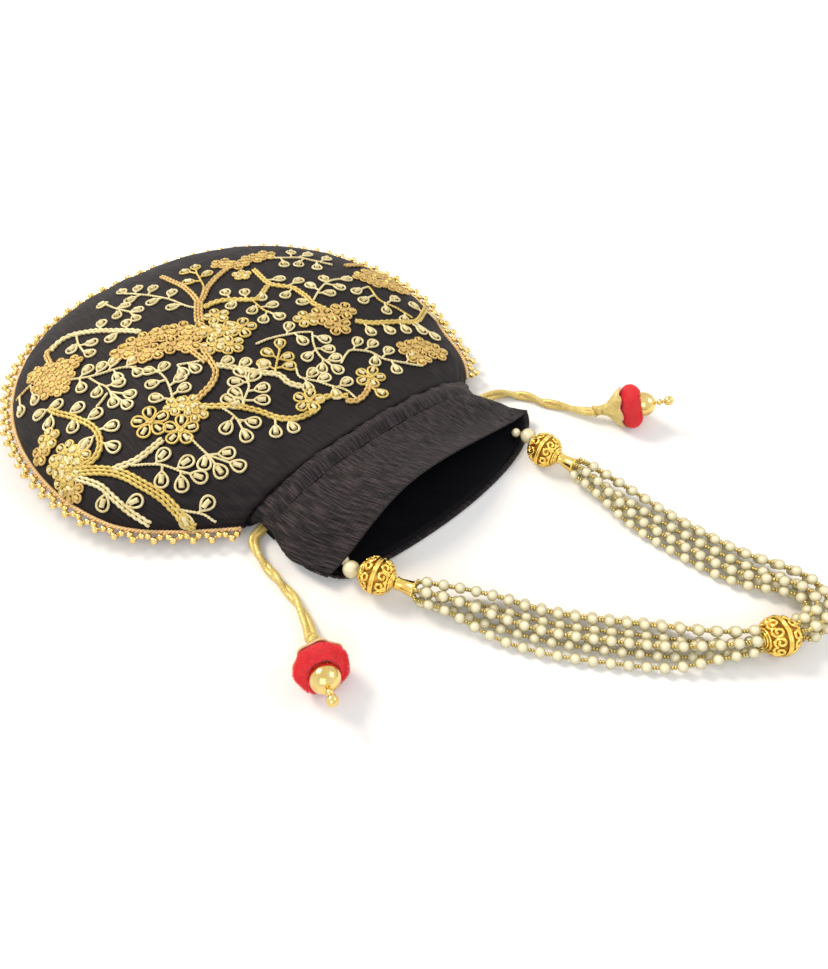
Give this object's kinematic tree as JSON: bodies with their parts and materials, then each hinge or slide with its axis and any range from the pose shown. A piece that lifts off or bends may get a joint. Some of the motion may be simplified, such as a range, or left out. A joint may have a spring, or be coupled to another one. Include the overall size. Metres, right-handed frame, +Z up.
{
  "type": "drawstring pouch bag",
  "caption": "Soft drawstring pouch bag with embroidered padded body, beaded edge, gathered neck, tasselled drawstrings and a handle of pearl strands.",
  "frame": {"origin": "on the table under the widest line of the bag's body, which lies on its back panel", "axes": "+Z up from the table, +Y from the mouth to the bottom of the bag, +X along its width, away from the side nearest the camera"},
  "size_m": [0.2511, 0.4036, 0.0351],
  "materials": {
    "black_fabric": "crinkled dark brown-black silk-like cloth",
    "black_lining": "smooth black lining cloth",
    "gold_thread": "metallic gold thread",
    "gold_bead": "metallised gold beads",
    "gold_metal": "polished gold-coloured pierced metal",
    "cream_pearl": "cream imitation pearl",
    "red_wool": "brushed wool"
  },
  "bodies": {
    "bag": {"body_front": "black_fabric", "body_back": "black_fabric", "collar_front": "black_fabric", "collar_back": "black_fabric", "casing_front": "black_fabric", "casing_back": "black_fabric", "lining_pouch": "black_lining", "seam_piping": "gold_thread", "beaded_edge": "gold_bead", "stopper_pearl_left": "cream_pearl", "stopper_pearl_right": "cream_pearl"},
    "handle": {"end_pearl_left": "cream_pearl", "pierced_ball_left": "gold_metal", "bead_cap_left": "gold_metal", "end_pearl_right": "cream_pearl", "pierced_ball_right": "gold_metal", "bead_cap_right": "gold_metal", "pierced_ball_middle": "gold_metal", "pearl_strand_left_1": "cream_pearl", "pearl_strand_left_2": "cream_pearl", "pearl_strand_left_3": "cream_pearl", "pearl_strand_left_4": "cream_pearl", "pearl_strand_left_5": "cream_pearl", "pearl_strand_left_6": "cream_pearl", "pearl_strand_left_7": "cream_pearl", "pearl_strand_right_1": "cream_pearl", "pearl_strand_right_2": "cream_pearl", "pearl_strand_right_3": "cream_pearl", "pearl_strand_right_4": "cream_pearl", "pearl_strand_right_5": "cream_pearl", "pearl_strand_right_6": "cream_pearl", "pearl_strand_right_7": "cream_pearl"},
    "drawstring_left": {"drawstring_left_1": "gold_thread", "drawstring_left_2": "gold_thread", "string_knot_left": "gold_thread", "tassel_cone_left": "gold_thread", "pompom_left": "red_wool", "tassel_ball_left": "gold_bead", "neck_bead_left": "gold_bead", "tip_bead_left": "gold_bead"},
    "drawstring_right": {"drawstring_right_1": "gold_thread", "drawstring_right_2": "gold_thread", "string_knot_right": "gold_thread", "tassel_cone_right": "gold_thread", "pompom_right": "red_wool", "tassel_ball_right": "gold_bead", "neck_bead_right": "gold_bead", "tip_bead_right": "gold_bead"}
  },
  "joints": [
    {"name": "handle_lift", "type": "hinge", "parent": "bag", "child": "handle", "pos_m": [0, -0.1316, 0.0072], "axis": [-1, 0, 0], "range_deg": [0, 70]},
    {"name": "drawstring_left_pull", "type": "slide", "parent": "bag", "child": "drawstring_left", "axis": [-0.9993, 0.0385, 0], "range_m": [0, 0.095]},
    {"name": "drawstring_right_pull", "type": "slide", "parent": "bag", "child": "drawstring_right", "axis": [0.9993, -0.0385, 0], "range_m": [0, 0.095]}
  ]
}
